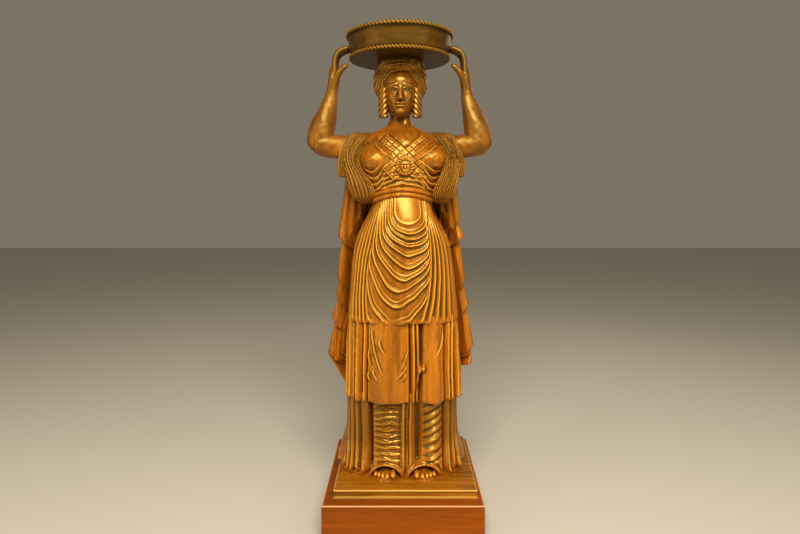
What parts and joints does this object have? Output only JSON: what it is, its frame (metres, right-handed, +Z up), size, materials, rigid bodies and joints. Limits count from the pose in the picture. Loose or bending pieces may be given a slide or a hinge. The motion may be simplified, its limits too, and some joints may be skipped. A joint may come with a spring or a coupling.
{
  "type": "athena statue",
  "caption": "Carved varnished wooden statue of Athena in a belted peplos, both arms raised to steady an open round basket on the head, on a moulded board and plinth.",
  "frame": {"origin": "centre of the plinth's flat underside", "axes": "+Z up along the figure, -Y the way the figure faces, +X to the right seen from the front"},
  "size_m": [0.5046, 0.4, 1.296],
  "materials": {
    "plinth_wood": "red-brown stained, satin varnish",
    "board_wood": "golden-brown stained, gloss varnish",
    "figure_wood": "dark golden-brown stained, gloss varnish",
    "basket_wood": "dark brown stained, gloss varnish"
  },
  "bodies": {
    "root": {"plinth": "plinth_wood", "base_board": "board_wood", "athena_figure": "figure_wood", "basket": "basket_wood"}
  },
  "joints": []
}
